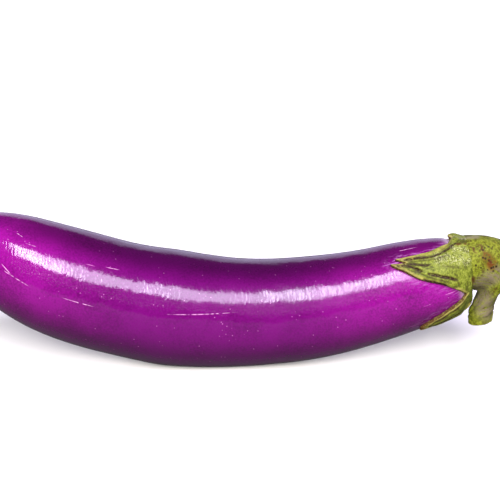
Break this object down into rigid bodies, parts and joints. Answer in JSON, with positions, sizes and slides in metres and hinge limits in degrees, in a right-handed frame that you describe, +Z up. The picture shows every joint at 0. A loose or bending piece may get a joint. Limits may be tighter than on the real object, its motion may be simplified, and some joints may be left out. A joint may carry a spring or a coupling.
{
  "type": "eggplant",
  "caption": "Whole long purple eggplant, gently curved, with a lobed green calyx and a hooked stalk, lying on its belly.",
  "frame": {"origin": "centre of the small flat spot under the belly that the eggplant rests on", "axes": "+X level along the fruit, from the blossom end towards the stalk; +Z up; the fruit bows in the XZ plane with both ends raised"},
  "size_m": [0.2588, 0.054, 0.0727],
  "materials": {
    "skin": "glossy purple skin with fine pale streaks",
    "calyx": "matt yellow-green tissue with brown creases",
    "stalk": "dull olive bark with brown spots"
  },
  "bodies": {
    "root": {"fruit": "skin", "calyx": "calyx", "stem": "stalk"}
  },
  "joints": []
}
